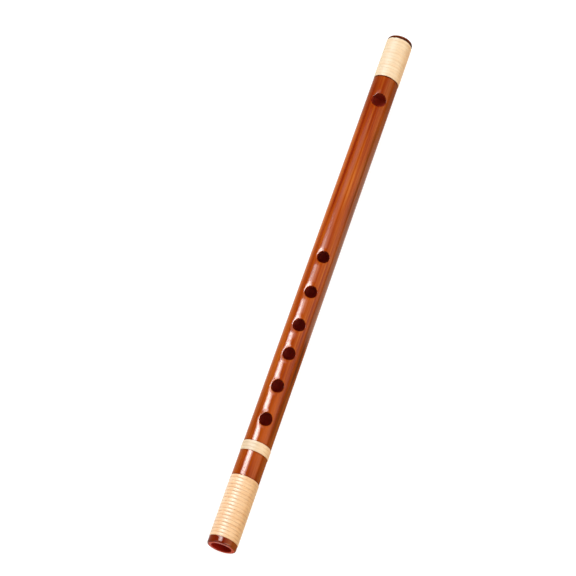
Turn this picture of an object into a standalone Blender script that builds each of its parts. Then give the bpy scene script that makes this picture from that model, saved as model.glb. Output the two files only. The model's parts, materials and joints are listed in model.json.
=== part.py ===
# Shinobue: a side-blown bamboo flute with six finger holes, bound with cane at both ends.
#
# The flute is drawn standing on its foot face: stations run up the local Z axis from the foot face
# to the head, and the holes look along local +X. An empty then lays it on its back, so that in the
# finished frame +X points to the foot, -X to the head, and the holes look up along +Z.
# Sizes are in millimetres, and mm() turns them into metres where the geometry is made.

from math import atan, cos, pi, radians, sin

import bmesh
import bpy
import numpy as np

# Bamboo tube
FOOT_TO_MOUTH = 362.0        # foot face to the centre of the mouth hole
MOUTH_TO_TUBE_END = 55.9     # centre of the mouth hole to the cut end under the head cap
FOOT_RADIUS = 10.28          # outside radius of the bamboo at the foot face
TAPER_PER_MM = 0.00161       # radius lost for each millimetre towards the head
BORE_RADIUS = 7.10
FOOT_EDGE_ROUNDING = 1.2     # outer edge of the foot face
BORE_EDGE_CHAMFER = 0.4      # inner edge of the foot face

# Holes, with stations measured from the foot face
FINGER_HOLE_STATIONS = (95.0, 121.2, 147.0, 170.2, 197.2, 226.2)
LOWEST_FINGER_HOLE_LENGTH = 10.3
HIGHEST_FINGER_HOLE_LENGTH = 9.6
FINGER_HOLE_WIDTH = 9.0
MOUTH_HOLE_LENGTH = 11.4
MOUTH_HOLE_WIDTH = 11.0

# Cane bindings: each is one strip, wound round the tube in a shaved seat
CANE_WIDTH = 2.10
CANE_THICKNESS = 0.85
CANE_EDGE_THICKNESS = 0.55   # the skin side is crowned, so the edges are thinner
CANE_PROUD = 0.30            # how far the crown stands above the bamboo
CANE_TAIL_ANGLE = 120.0      # both ends stop this far round from the holes, in degrees
FOOT_STUB_LENGTH = 3.5       # bare bamboo below the seat of the foot binding
FOOT_TURNS = 18              # turns that cross the hole side of the flute
FOOT_TURN_GAP = 0.485        # seat left bare between one turn and the next
RING_SEAT_START = 68.85      # foot face to the lower shoulder of the ring's seat
RING_TURNS = 3
RING_TURN_GAP = 0.48
HEAD_TURNS = 13
HEAD_TURN_GAP = 0.56         # laid a little more open than at the foot

# Head cap, stopper and wax
CAP_HEIGHT = 2.3             # what shows past the tube
CAP_PROUD = 0.10             # rim of the cap above the bamboo
CAP_ROUNDING = 1.6
CAP_DOME = 0.4               # rise of the middle above the rounded edge
SPIGOT_LENGTH = 8.0
SPIGOT_CHAMFER = 0.5
MOUTH_TO_WAX = 9.3           # centre of the mouth hole to the reflecting face
WAX_THICKNESS = 3.0
STOPPER_LENGTH = 14.0
STOPPER_CHAMFER = 0.6

# Fits and rest
SEAT_CLEARANCE = 0.30        # cane above the floor of its seat, and from the seat's shoulders
PLUG_CLEARANCE = 0.30        # spigot, stopper and wax in the bore
FACE_CLEARANCE = 0.30        # between faces that butt
REST_FLAT_DEPTH = 0.15       # how deep the crowns are flattened where the flute lies on them

# Facets
TUBE_SIDES = 48
HOLE_SIDES = 32
POINTS_PER_TURN = 24
ROUNDING_STEPS = 4

PART_NAME = "shinobue"
CUTTER_NAME = "cutters"

tube_length = FOOT_TO_MOUTH + MOUTH_TO_TUBE_END
cap_seat = tube_length + FACE_CLEARANCE
overall_length = cap_seat + CAP_HEIGHT
plug_radius = BORE_RADIUS - PLUG_CLEARANCE
seat_depth = SEAT_CLEARANCE + CANE_THICKNESS - CANE_PROUD
lie_angle = atan(TAPER_PER_MM)


def mm(value):
    """Millimetres to metres."""
    return value / 1000.0


def bamboo_radius(station):
    """Outside radius of the bamboo at a station."""
    return FOOT_RADIUS - TAPER_PER_MM * station


def seat_radius(station):
    """Radius of a shaved seat's floor at a station."""
    return bamboo_radius(station) - seat_depth


class Binding:
    """One cane strip: its turns, and the seat that holds them."""

    def __init__(self, name, turns, turn_gap):
        self.name = name
        self.turns = turns
        self.pitch = CANE_WIDTH + turn_gap
        self.tail = self.pitch * CANE_TAIL_ANGLE / 360.0
        on_hole_side = turns * CANE_WIDTH + (turns - 1) * turn_gap
        self.seat_length = on_hole_side + 2.0 * (self.tail + SEAT_CLEARANCE)

    def place(self, seat_start):
        """Set the seat between two stations, and the first turn in it."""
        self.seat_start = seat_start
        self.seat_end = seat_start + self.seat_length
        self.first_turn = seat_start + SEAT_CLEARANCE + self.tail + CANE_WIDTH / 2.0
        return self

    def path(self):
        """Points along the middle of the cane's inner face, on chords that clear the seat."""
        tail = radians(CANE_TAIL_ANGLE)
        step = 2.0 * pi / POINTS_PER_TURN
        travel = 2.0 * pi * (self.turns - 1) + 2.0 * tail
        points = []
        for angle in np.linspace(-tail, travel - tail, round(travel / step) + 1):
            station = self.first_turn + self.pitch * angle / (2.0 * pi)
            radius = (seat_radius(station) + SEAT_CLEARANCE) / cos(step / 2.0)
            points.append((radius * cos(angle), -radius * sin(angle), station))
        return np.array(points)


foot_binding = Binding("foot_wrap", FOOT_TURNS, FOOT_TURN_GAP).place(FOOT_STUB_LENGTH)
ring_binding = Binding("foot_ring", RING_TURNS, RING_TURN_GAP).place(RING_SEAT_START)
head_binding = Binding("head_wrap", HEAD_TURNS, HEAD_TURN_GAP)
head_binding.place(tube_length + SEAT_CLEARANCE - head_binding.seat_length)


def clear_scene():
    """Remove every object and its data, and the collections of an earlier run."""
    for obj in list(bpy.data.objects):
        bpy.data.objects.remove(obj, do_unlink=True)
    for blocks in (bpy.data.meshes, bpy.data.curves, bpy.data.materials):
        for block in list(blocks):
            blocks.remove(block)
    for name in (PART_NAME, CUTTER_NAME):
        if name in bpy.data.collections:
            bpy.data.collections.remove(bpy.data.collections[name])


def new_collection(name):
    collection = bpy.data.collections.new(name)
    bpy.context.scene.collection.children.link(collection)
    return collection


def make_material(name, color, roughness, coat=0.0):
    material = bpy.data.materials.new(name)
    material.use_nodes = True
    material.diffuse_color = (*color, 1.0)
    shader = material.node_tree.nodes["Principled BSDF"]
    shader.inputs["Base Color"].default_value = (*color, 1.0)
    shader.inputs["Roughness"].default_value = roughness
    shader.inputs["Metallic"].default_value = 0.0
    shader.inputs["Coat Weight"].default_value = coat
    return material


def shade(mesh):
    """Smooth the round faces and keep the edges crisp."""
    crisp_angle = radians(35.0)
    mesh.shade_smooth()
    mesh.set_sharp_from_angle(angle=crisp_angle)


def evaluated_mesh(obj):
    """A new mesh of the object's shape with its modifiers, or a curve's sweep, worked out."""
    bpy.context.view_layer.update()
    evaluated = obj.evaluated_get(bpy.context.evaluated_depsgraph_get())
    return bpy.data.meshes.new_from_object(evaluated)


def finish(obj, material):
    """Put the worked-out shape in place of the modifiers, shaded and with its material."""
    mesh = evaluated_mesh(obj)
    obj.modifiers.clear()
    obj.data = mesh
    mesh.name = obj.name
    mesh.materials.clear()
    mesh.materials.append(material)
    shade(mesh)
    return obj


def add_object(name, data, collection, parent):
    obj = bpy.data.objects.new(name, data)
    collection.objects.link(obj)
    obj.parent = parent
    return obj


def mark_as_cutter(obj):
    obj.hide_render = True
    obj.display_type = "WIRE"
    return obj


def turned(name, profile, collection, parent, closed=False):
    """Turn a profile of (radius, station) points that runs down its outer side."""
    points = [(mm(radius), 0.0, mm(station)) for radius, station in profile]
    edges = [(index, index + 1) for index in range(len(points) - 1)]
    if closed:
        edges.append((len(points) - 1, 0))
    mesh = bpy.data.meshes.new(name)
    mesh.from_pydata(points, edges, [])
    obj = add_object(name, mesh, collection, parent)
    screw = obj.modifiers.new("Turn", "SCREW")
    screw.axis = "Z"
    screw.angle = 2.0 * pi
    screw.steps = TUBE_SIDES
    screw.render_steps = TUBE_SIDES
    screw.use_merge_vertices = True
    screw.merge_threshold = mm(0.01)
    return obj


def rounded_corner(radius, station, rounding, start, end):
    """Points of an arc round (radius, station), its angles in degrees up from outwards."""
    corner = []
    for step in range(ROUNDING_STEPS + 1):
        angle = radians(start + (end - start) * step / ROUNDING_STEPS)
        corner.append((radius + rounding * cos(angle), station + rounding * sin(angle)))
    return corner


def seat_profile(binding):
    """The two shoulders and the floor of a binding's seat, from its head side down."""
    high, low = binding.seat_end, binding.seat_start
    return [(bamboo_radius(high), high), (seat_radius(high), high),
            (seat_radius(low), low), (bamboo_radius(low), low)]


def tube_profile():
    """Section of the bamboo wall: down the outside, round the foot face and up the bore."""
    head_floor = seat_profile(head_binding)[2:]
    rounding = FOOT_EDGE_ROUNDING
    foot_edge = rounded_corner(FOOT_RADIUS - rounding, rounding, rounding, 0.0, -90.0)
    return ([(seat_radius(tube_length), tube_length)] + head_floor
            + seat_profile(ring_binding) + seat_profile(foot_binding) + foot_edge
            + [(BORE_RADIUS + BORE_EDGE_CHAMFER, 0.0), (BORE_RADIUS, BORE_EDGE_CHAMFER),
               (BORE_RADIUS, tube_length)])


def hole_cutter(name, station, length, width, collection, parent):
    """An elliptical bar from the middle of the bore out through the wall on the hole side."""
    reach = BORE_RADIUS + FOOT_RADIUS
    mesh = bpy.data.meshes.new(name)
    shape = bmesh.new()
    bmesh.ops.create_cone(shape, cap_ends=True, segments=HOLE_SIDES, radius1=mm(width / 2.0),
                          radius2=mm(width / 2.0), depth=mm(reach))
    for vert in shape.verts:
        across, along, out = vert.co
        vert.co = (out + mm(reach / 2.0), across, along * length / width)
    shape.to_mesh(mesh)
    shape.free()
    obj = add_object(name, mesh, collection, parent)
    obj.location.z = mm(station)
    return mark_as_cutter(obj)


def finger_hole_length(station):
    """The holes shorten evenly from the lowest to the highest."""
    lowest, highest = FINGER_HOLE_STATIONS[0], FINGER_HOLE_STATIONS[-1]
    share = (station - lowest) / (highest - lowest)
    return LOWEST_FINGER_HOLE_LENGTH + share * (HIGHEST_FINGER_HOLE_LENGTH - LOWEST_FINGER_HOLE_LENGTH)


def cut(obj, cutter):
    boolean = obj.modifiers.new("Cut " + cutter.name, "BOOLEAN")
    boolean.operation = "DIFFERENCE"
    boolean.solver = "EXACT"
    boolean.object = cutter


def make_tube(parts, cutters, parent, material):
    tube = turned("bamboo_tube", tube_profile(), parts, parent, closed=True)
    for number, station in enumerate(FINGER_HOLE_STATIONS, start=1):
        cut(tube, hole_cutter(f"finger_hole_{number}", station, finger_hole_length(station),
                              FINGER_HOLE_WIDTH, cutters, parent))
    cut(tube, hole_cutter("mouth_hole", FOOT_TO_MOUTH, MOUTH_HOLE_LENGTH, MOUTH_HOLE_WIDTH,
                          cutters, parent))
    return finish(tube, material)


def make_cap(parts, parent, material):
    """A low dome with a rounded edge, and a spigot that plugs the bore."""
    rim_radius = bamboo_radius(cap_seat) + CAP_PROUD
    edge_top = overall_length - CAP_DOME
    rounding = CAP_ROUNDING
    edge = rounded_corner(rim_radius - rounding, edge_top - rounding, rounding, 90.0, 0.0)
    profile = [(0.0, overall_length)] + edge + [
        (rim_radius, cap_seat), (plug_radius, cap_seat),
        (plug_radius, cap_seat - SPIGOT_LENGTH + SPIGOT_CHAMFER),
        (plug_radius - SPIGOT_CHAMFER, cap_seat - SPIGOT_LENGTH), (0.0, cap_seat - SPIGOT_LENGTH)]
    return finish(turned("head_cap", profile, parts, parent), material)


def make_plug(name, start, length, chamfer, parts, parent, material):
    """A cylinder in the bore, with its head side edge broken by a chamfer."""
    profile = [(0.0, start + length), (plug_radius - chamfer, start + length),
               (plug_radius, start + length - chamfer), (plug_radius, start), (0.0, start)]
    return finish(turned(name, profile, parts, parent), material)


def cane_section(cutters):
    """Section of the strip, flat inside and crowned outside: -X is out, Y is along the flute."""
    half = CANE_WIDTH / 2.0
    outline = [(0.0, -half), (CANE_EDGE_THICKNESS, -half), (CANE_THICKNESS, 0.0),
               (CANE_EDGE_THICKNESS, half), (0.0, half)]
    curve = bpy.data.curves.new("cane_section", "CURVE")
    curve.dimensions = "2D"
    spline = curve.splines.new("POLY")
    spline.points.add(len(outline) - 1)
    for point, (out, along) in zip(spline.points, outline):
        point.co = (-mm(out), mm(along), 0.0, 1.0)
    spline.use_cyclic_u = True
    return mark_as_cutter(add_object("cane_section", curve, cutters, None))


def least_gap(points):
    """Least distance between an edge of the strip and the facing edge of another turn."""
    edge = np.array([0.0, 0.0, CANE_WIDTH / 2.0])
    half_turn = POINTS_PER_TURN // 2
    return min(np.linalg.norm(points[index + half_turn:] - edge - (points[index] + edge), axis=1).min()
               for index in range(len(points) - half_turn))


def make_binding(binding, section, floor_cutter, parts, parent, material):
    """Wind the strip as one swept curve, make it a mesh, and flatten it where the flute lies."""
    points = binding.path()
    curve = bpy.data.curves.new(binding.name, "CURVE")
    curve.dimensions = "3D"
    curve.twist_mode = "Z_UP"
    curve.bevel_mode = "OBJECT"
    curve.bevel_object = section
    curve.use_fill_caps = True
    spline = curve.splines.new("POLY")
    spline.points.add(len(points) - 1)
    for target, point in zip(spline.points, points):
        target.co = (*(mm(value) for value in point), 1.0)
    swept = add_object(binding.name + "_path", curve, parts, parent)
    mesh = evaluated_mesh(swept)
    shape = bmesh.new()
    shape.from_mesh(mesh)
    bmesh.ops.remove_doubles(shape, verts=shape.verts, dist=mm(0.001))
    bmesh.ops.recalc_face_normals(shape, faces=shape.faces)
    shape.to_mesh(mesh)
    shape.free()
    wound = bpy.data.objects.new(binding.name, mesh)
    parts.objects.link(wound)
    wound.matrix_world = swept.matrix_world
    bpy.data.objects.remove(swept, do_unlink=True)
    cut(wound, floor_cutter)
    print(f"{binding.name}: {binding.turns} turns, pitch {binding.pitch:.3f} mm, "
          f"least gap to itself {least_gap(points):.3f} mm")
    return finish(wound, material)


def make_floor_cutter(cutters):
    """A block under the surface that the flute lies on, larger than the flute all round."""
    margin = FOOT_RADIUS
    length = overall_length + 2.0 * margin
    width = 2.0 * (FOOT_RADIUS + margin)
    mesh = bpy.data.meshes.new("rest_surface")
    shape = bmesh.new()
    bmesh.ops.create_cube(shape, size=1.0)
    for vert in shape.verts:
        along, across, up = vert.co
        vert.co = (along * mm(length), across * mm(width), (up - 0.5) * mm(margin))
    shape.to_mesh(mesh)
    shape.free()
    return mark_as_cutter(add_object("rest_surface", mesh, cutters, None))


def make_flute_axis(collection):
    """The empty that lays the flute down, so that its crowns, not its axis, lie level."""
    axis = bpy.data.objects.new("flute_axis", None)
    collection.objects.link(axis)
    axis.rotation_euler = (0.0, -(pi / 2.0 + lie_angle), 0.0)
    foot_height = (FOOT_RADIUS + CANE_PROUD - REST_FLAT_DEPTH) / cos(lie_angle)
    axis.location = (mm(overall_length / 2.0), 0.0, mm(foot_height))
    bpy.context.view_layer.update()
    return axis


def main():
    clear_scene()
    parts = new_collection(PART_NAME)
    cutters = new_collection(CUTTER_NAME)
    axis = make_flute_axis(parts)

    bamboo = make_material("lacquered_bamboo", (0.45, 0.11, 0.025), 0.22, coat=0.8)
    cane = make_material("cane_strip", (0.86, 0.62, 0.36), 0.42)
    cap_lacquer = make_material("cap_lacquer", (0.16, 0.035, 0.012), 0.25, coat=0.6)
    cork = make_material("cork", (0.45, 0.28, 0.14), 0.85)
    wax = make_material("beeswax", (0.62, 0.42, 0.14), 0.5)

    make_tube(parts, cutters, axis, bamboo)
    make_cap(parts, axis, cap_lacquer)
    wax_start = FOOT_TO_MOUTH + MOUTH_TO_WAX
    make_plug("wax_face", wax_start, WAX_THICKNESS, 0.0, parts, axis, wax)
    make_plug("stopper", wax_start + WAX_THICKNESS + FACE_CLEARANCE, STOPPER_LENGTH,
              STOPPER_CHAMFER, parts, axis, cork)

    section = cane_section(cutters)
    floor_cutter = make_floor_cutter(cutters)
    for binding in (foot_binding, ring_binding, head_binding):
        make_binding(binding, section, floor_cutter, parts, axis, cane)
    bpy.context.view_layer.update()


main()
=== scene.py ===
# %% [markdown]
# # Dressing a side-blown bamboo flute
# The flute is one length of thin bamboo, bored through, with six finger holes and a mouth hole. It
# is lacquered orange-brown outside and deep red inside, and bound with split cane at both ends and
# in a narrow ring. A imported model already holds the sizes. This notebook builds the fine surface of
# each piece over it, so nothing here changes how long, wide or high the flute is.

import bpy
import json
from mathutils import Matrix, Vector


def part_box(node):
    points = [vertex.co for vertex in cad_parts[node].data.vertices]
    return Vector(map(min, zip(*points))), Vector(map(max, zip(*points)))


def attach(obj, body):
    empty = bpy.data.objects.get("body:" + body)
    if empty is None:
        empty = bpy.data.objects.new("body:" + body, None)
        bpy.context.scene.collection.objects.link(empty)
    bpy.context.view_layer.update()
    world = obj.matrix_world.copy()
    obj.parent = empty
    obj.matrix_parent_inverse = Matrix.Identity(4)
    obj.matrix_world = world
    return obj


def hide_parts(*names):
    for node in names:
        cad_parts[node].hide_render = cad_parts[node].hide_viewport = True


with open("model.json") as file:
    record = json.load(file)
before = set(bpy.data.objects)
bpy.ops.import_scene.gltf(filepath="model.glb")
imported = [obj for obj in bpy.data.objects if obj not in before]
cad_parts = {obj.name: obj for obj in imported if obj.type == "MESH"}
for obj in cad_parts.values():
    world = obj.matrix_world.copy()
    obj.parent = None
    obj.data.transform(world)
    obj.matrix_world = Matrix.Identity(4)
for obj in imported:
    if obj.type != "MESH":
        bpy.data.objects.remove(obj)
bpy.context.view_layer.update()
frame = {"nodes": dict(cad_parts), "record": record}
print("packed nodes:", ", ".join(sorted(frame["nodes"])))

# %% [markdown]
# ## Places along the flute
# A flute maker marks every hole as a distance from the foot, and the scene does the same: a station
# is a distance from the foot face along the axis. The bamboo thins evenly towards the head and lies
# on its bindings, so its axis leans by the angle of that taper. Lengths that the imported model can
# give are measured on it, and only the sections are written as numbers.

# %% Sizes of the bamboo
import json
from math import asin, atan, atan2, cos, pi, radians, sin, sqrt

import bmesh
import bpy
from mathutils import Matrix, Vector, noise

MM = 0.001
FOOT_RADIUS = 10.28 * MM
TAPER = 0.00161                 # radius lost for each unit of length towards the head
BORE_RADIUS = 7.10 * MM
CANE_PROUD = 0.30 * MM          # crown of the cane above the bamboo
REST_FLAT = 0.15 * MM           # crowns are flattened by this where the flute lies on them
WALL = FOOT_RADIUS - BORE_RADIUS
FOOT_ROUNDING = 1.2 * MM

tube_low, tube_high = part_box("bamboo_tube")
tube_length = tube_high.x - tube_low.x
lean = atan(TAPER)
foot_point = Vector((tube_high.x - (FOOT_RADIUS - FOOT_ROUNDING) * sin(lean), 0.0,
                     (FOOT_RADIUS + CANE_PROUD - REST_FLAT) / cos(lean)))
LAY_DOWN = Matrix.Translation(foot_point) @ Matrix.Rotation(-(pi / 2 + lean), 4, "Y")


def bamboo_radius(station):
    """Outside radius of the bamboo at a station."""
    return FOOT_RADIUS - TAPER * station


def station_of(x):
    """Station of a place given by its world X."""
    return tube_high.x - x


head_radius = bamboo_radius(tube_length)
print(f"bamboo {tube_length / MM:.1f} mm long, {head_radius / MM:.2f} mm in radius at the head")

# %% [markdown]
# ## The holes
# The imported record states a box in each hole, and its middle gives the hole's station. Lengths and
# widths are measured in the photograph: the finger holes shorten a little from the foot upwards,
# and the mouth hole is larger and nearly round.

# %% Find the holes
FINGER_HOLE_WIDTH = 9.0 * MM
LOWEST_LENGTH, HIGHEST_LENGTH = 10.3 * MM, 9.6 * MM
MOUTH_WIDTH, MOUTH_LENGTH = 11.0 * MM, 11.4 * MM
FINGER_DISH, MOUTH_DISH = 0.25 * MM, 0.12 * MM    # how far the skin is worn down at the rims

holes = []
for opening in frame["record"]["physics"]["openings"]:
    low, high = opening["box_m"]
    if "hole" in opening["name"]:
        holes.append({"name": opening["name"], "station": station_of((low[0] + high[0]) / 2)})
holes.sort(key=lambda hole: hole["station"])
for number, hole in enumerate(holes):
    share = number / (len(holes) - 2)
    hole["length"] = LOWEST_LENGTH + share * (HIGHEST_LENGTH - LOWEST_LENGTH)
    hole["width"], hole["dish"] = FINGER_HOLE_WIDTH, FINGER_DISH
holes[-1].update(length=MOUTH_LENGTH, width=MOUTH_WIDTH, dish=MOUTH_DISH)
for hole in holes:
    print(f"{hole['name']}: {hole['station'] / MM:.1f} mm, {hole['length'] / MM:.2f} mm long")

# %% [markdown]
# ## The bindings
# Each binding is one strip of cane, wound as a screw thread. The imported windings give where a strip
# starts and ends, and the number of turns gives the pitch. Both ends lie out of sight, a third of a
# turn round from the holes. On the fine model the turns touch, and the seam between two turns
# wanders a little, because no split cane is quite even.

# %% Measure the bindings
CANE_WIDTH = 2.10 * MM
TAIL = radians(120.0)           # how far round from the holes each end of a strip lies
SEAM_GAP = 0.04 * MM


class Binding:
    """Where one cane strip runs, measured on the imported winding."""

    def __init__(self, node, turns, crown, wander, seed):
        low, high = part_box(node)
        self.node, self.turns, self.crown, self.wander, self.seed = node, turns, crown, wander, seed
        self.start, self.end = station_of(high.x), station_of(low.x)
        self.pitch = (self.end - self.start - CANE_WIDTH) / (turns - 1 + 2 * TAIL / (2 * pi))
        self.first = self.start + self.pitch * TAIL / (2 * pi) + CANE_WIDTH / 2
        self.last = self.first + self.pitch * (turns - 1)
        self.travel = 2 * pi * (turns - 1) + 2 * TAIL

    def centre(self, angle):
        return self.first + self.pitch * angle / (2 * pi)

    def seam(self, angle):
        """Station of the seam between the turn at an angle and the next, which wanders a little."""
        drift = noise.noise((angle * 0.9, self.seed, 0.0))
        drift += 0.5 * noise.noise((angle * 2.7, self.seed, 9.0))
        return self.centre(angle) + self.pitch / 2 + self.wander * drift

    def edges(self, angle):
        """Stations of the strip's two edges at an angle."""
        low = self.centre(angle) - CANE_WIDTH / 2
        high = self.centre(angle) + CANE_WIDTH / 2
        if angle - 2 * pi >= -TAIL:
            low = self.seam(angle - 2 * pi) + SEAM_GAP / 2
        if angle + 2 * pi <= self.travel - TAIL:
            high = self.seam(angle) - SEAM_GAP / 2
        return low, high


foot_wrap = Binding("foot_wrap", turns=18, crown=0.28 * MM, wander=0.16 * MM, seed=3.0)
foot_ring = Binding("foot_ring", turns=3, crown=0.20 * MM, wander=0.10 * MM, seed=17.0)
head_wrap = Binding("head_wrap", turns=13, crown=0.20 * MM, wander=0.12 * MM, seed=29.0)
BINDINGS = (foot_wrap, foot_ring, head_wrap)
for binding in BINDINGS:
    print(f"{binding.node}: {binding.turns} turns from {binding.start / MM:.2f} to "
          f"{binding.end / MM:.2f} mm, pitch {binding.pitch / MM:.3f} mm")

# %% [markdown]
# ## The camera
# The camera comes before the pieces, because the view decides how fine each of them has to be. It
# looks down on the holes from the foot end, tilted by about a quarter of a right angle, and rolled,
# so that the flute runs from lower left to upper right. Its place was found by matching the flute's
# outline, its narrowing and the edges of its bindings.

# %% Place the camera
CAMERA_TARGET = Vector((11.49, -16.94, 10.0)) * MM
CAMERA_DISTANCE = 1651.6 * MM
CAMERA_TILT = radians(24.09)      # away from straight above, towards the foot
CAMERA_AZIMUTH = radians(8.14)    # from +X towards +Y
CAMERA_ROLL = radians(10.86)
LENS_ON_36_MM = 144.6

towards_camera = Vector((sin(CAMERA_TILT) * cos(CAMERA_AZIMUTH),
                         sin(CAMERA_TILT) * sin(CAMERA_AZIMUTH), cos(CAMERA_TILT)))
bpy.ops.object.camera_add(location=CAMERA_TARGET + CAMERA_DISTANCE * towards_camera)
camera = bpy.context.object
level = towards_camera.to_track_quat("Z", "Y").to_matrix()
camera.rotation_euler = (level @ Matrix.Rotation(CAMERA_ROLL, 3, "Z")).to_euler()
camera.data.lens = LENS_ON_36_MM
camera.data.sensor_width = 36.0
bpy.context.scene.camera = camera
print("camera at", [round(value, 3) for value in camera.location])

# %% [markdown]
# ## Tools for the bench
# Editing by script is editing by hand with named selections. An operator works on whatever is
# selected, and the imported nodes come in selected, so one tool clears that. Others open a mesh for
# editing, and select the faces, edges or vertices that pass a test on where they are.

# %% Selecting by place
TOUCH = 0.01 * MM               # places nearer to each other than this count as one
WELD = 0.002 * MM
SMOOTH_ANGLE = radians(40.0)


def at(value, target):
    return abs(value - target) < TOUCH


def start_clean():
    """Leave edit mode and deselect every object."""
    if bpy.context.object and bpy.context.object.mode != "OBJECT":
        bpy.ops.object.mode_set(mode="OBJECT")
    bpy.ops.object.select_all(action="DESELECT")


def choose(piece):
    """Make this piece the active one and the only one selected."""
    start_clean()
    bpy.context.view_layer.objects.active = piece
    piece.select_set(True)


def edit(piece):
    """Open this piece alone in edit mode."""
    choose(piece)
    bpy.ops.object.mode_set(mode="EDIT")


def pick(piece, kind, test):
    """In edit mode, select the VERT, EDGE or FACE elements that pass the test, and count them."""
    bpy.ops.mesh.select_mode(type=kind)
    bpy.ops.mesh.select_all(action="DESELECT")
    shape = bmesh.from_edit_mesh(piece.data)
    elements = {"VERT": shape.verts, "EDGE": shape.edges, "FACE": shape.faces}[kind]
    chosen = [element for element in elements if test(element)]
    for element in chosen:
        element.select_set(True)
    shape.select_flush_mode()
    bmesh.update_edit_mesh(piece.data)
    return len(chosen)


def move_picked(piece, place):
    """Put each selected vertex where place(old position) says."""
    shape = bmesh.from_edit_mesh(piece.data)
    for vert in shape.verts:
        if vert.select:
            vert.co = place(vert.co)
    bmesh.update_edit_mesh(piece.data)


def apply_modifier(piece, kind, **settings):
    """Add a modifier, set it and apply it."""
    choose(piece)
    modifier = piece.modifiers.new(kind.title(), kind)
    for name, value in settings.items():
        setattr(modifier, name, value)
    bpy.ops.object.modifier_apply(modifier=modifier.name)


def finish_shape(piece):
    """Weld, point the faces outwards, lay the piece down, shade it and print its size."""
    edit(piece)
    bpy.ops.mesh.select_all(action="SELECT")
    bpy.ops.mesh.remove_doubles(threshold=WELD)
    bpy.ops.mesh.normals_make_consistent(inside=False)
    bpy.ops.object.mode_set(mode="OBJECT")
    piece.data.transform(LAY_DOWN)
    bpy.ops.object.shade_smooth_by_angle(angle=SMOOTH_ANGLE)
    triangles = sum(len(face.vertices) - 2 for face in piece.data.polygons)
    low, high = Vector(piece.bound_box[0]), Vector(piece.bound_box[6])
    size = [round(value / MM, 2) for value in high - low]
    print(f"{piece.name}: {triangles} triangles, {size} mm")


# %% [markdown]
# ## The bamboo, unrolled
# A tube with holes is hard to model round: the holes need their own rings of faces, and a Boolean
# leaves slivers that glossy lacquer shows at once. So the bamboo is modelled flat, as if it were
# slit along the back and pressed into a plate, with the station along X and the way round along Y.
# Rows lie close together round each hole and each seat, and far apart elsewhere.

# %% Choose the rows
COLUMNS = 96
HALF_HOLE_COLUMNS = 12          # columns cleared on each side of a hole's middle
HOLE_ROWS = 16                  # rows cleared along a hole
HOLE_MARGIN = 3.2 * MM          # clear bamboo between a hole's end and the first row outside it
FLAT_RADIUS = 10.0 * MM         # an angle times this is the way round on the plate
SEAT_CLEARANCE = 0.02 * MM      # between the cane's edge and the shoulder of its seat
ROUNDING_ROOM = 0.4 * MM        # between the foot's rounding and the first row past it
FINE, COARSE = 0.5 * MM, 3.0 * MM
NEAR = 2.0 * MM                 # how far the fine rows reach on each side of a shoulder
column_width = 2 * pi * FLAT_RADIUS / COLUMNS

seats = [(binding.first - CANE_WIDTH / 2 - SEAT_CLEARANCE,
          binding.last + CANE_WIDTH / 2 + SEAT_CLEARANCE) for binding in BINDINGS]
rows = [0.0]


def run_to(station, spacing):
    """Add rows up to a station, evenly and about this far apart."""
    start = rows[-1]
    count = max(1, round((station - start) / spacing))
    rows.extend(start + (station - start) * step / count for step in range(1, count + 1))


def run_past(shoulder):
    """Add rows up to a shoulder and past it, close together near it."""
    run_to(shoulder - NEAR, COARSE)
    run_to(shoulder, FINE)
    run_to(shoulder + NEAR, FINE)


run_to(FOOT_ROUNDING + ROUNDING_ROOM, COARSE)
for low, high in seats[:2]:
    run_past(low)
    run_past(high)
for hole in holes:
    hole["reach"] = hole["length"] / 2 + HOLE_MARGIN
    run_to(hole["station"] - hole["reach"], COARSE)
    run_to(hole["station"] + hole["reach"], 2 * hole["reach"] / HOLE_ROWS)
run_past(seats[2][0])
run_to(seats[2][1], COARSE)
run_to(tube_length, COARSE)
print(f"{len(rows)} rows by {COLUMNS} columns, {column_width / MM:.2f} mm wide")

# %% [markdown]
# A grid gives the plate, and its rows are then slid to their stations. Row and column numbers come
# from where a vertex lies on the square grid, so no list of vertices is needed.

# %% Lay out the plate
start_clean()
bpy.ops.mesh.primitive_grid_add(x_subdivisions=len(rows) - 1, y_subdivisions=COLUMNS, size=1.0)
bamboo = bpy.context.object
bamboo.name = bamboo.data.name = "lacquered_tube"


def slide_row(old):
    row = round((old.x + 0.5) * (len(rows) - 1))
    return Vector((rows[row], old.y * COLUMNS * column_width, 0.0))


edit(bamboo)
bpy.ops.mesh.select_all(action="SELECT")
move_picked(bamboo, slide_row)
print("plate vertices:", len(bmesh.from_edit_mesh(bamboo.data).verts))

# %% [markdown]
# Each hole starts as a rectangle of faces taken out of the plate. The rectangle's edge is then
# extruded inwards five times, and each new ring lies nearer to an oval, so the faces flow round the
# hole and the rim is a clean curve. The hole was drilled straight down, so its width is measured
# across the flute and then carried round the skin with an arcsine.

# %% Open the holes
RING_SHARES = (0.28, 0.52, 0.72, 0.88, 1.0)


def ring_place(hole, share):
    """Where a vertex round the hole goes, this share of the way from the rectangle to the rim."""
    radius = bamboo_radius(hole["station"])
    across_reach = radius * sin(HALF_HOLE_COLUMNS * column_width / FLAT_RADIUS)

    def place(old):
        along = (old.x - hole["station"]) / hole["reach"]
        across = radius * sin(old.y / FLAT_RADIUS) / across_reach
        angle = atan2(across, along)
        corner = 1.0 / max(abs(cos(angle)), abs(sin(angle)))
        rim = 1.0 / sqrt((2 * cos(angle) * hole["reach"] / hole["length"]) ** 2
                         + (2 * sin(angle) * across_reach / hole["width"]) ** 2)
        out = corner + (rim - corner) * share
        return Vector((hole["station"] + out * cos(angle) * hole["reach"],
                       FLAT_RADIUS * asin(out * sin(angle) * across_reach / radius), old.z))

    return place


def in_rectangle(hole, point, slack=0.0):
    return (abs(point.x - hole["station"]) < hole["reach"] + slack
            and abs(point.y) < HALF_HOLE_COLUMNS * column_width + slack)


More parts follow.
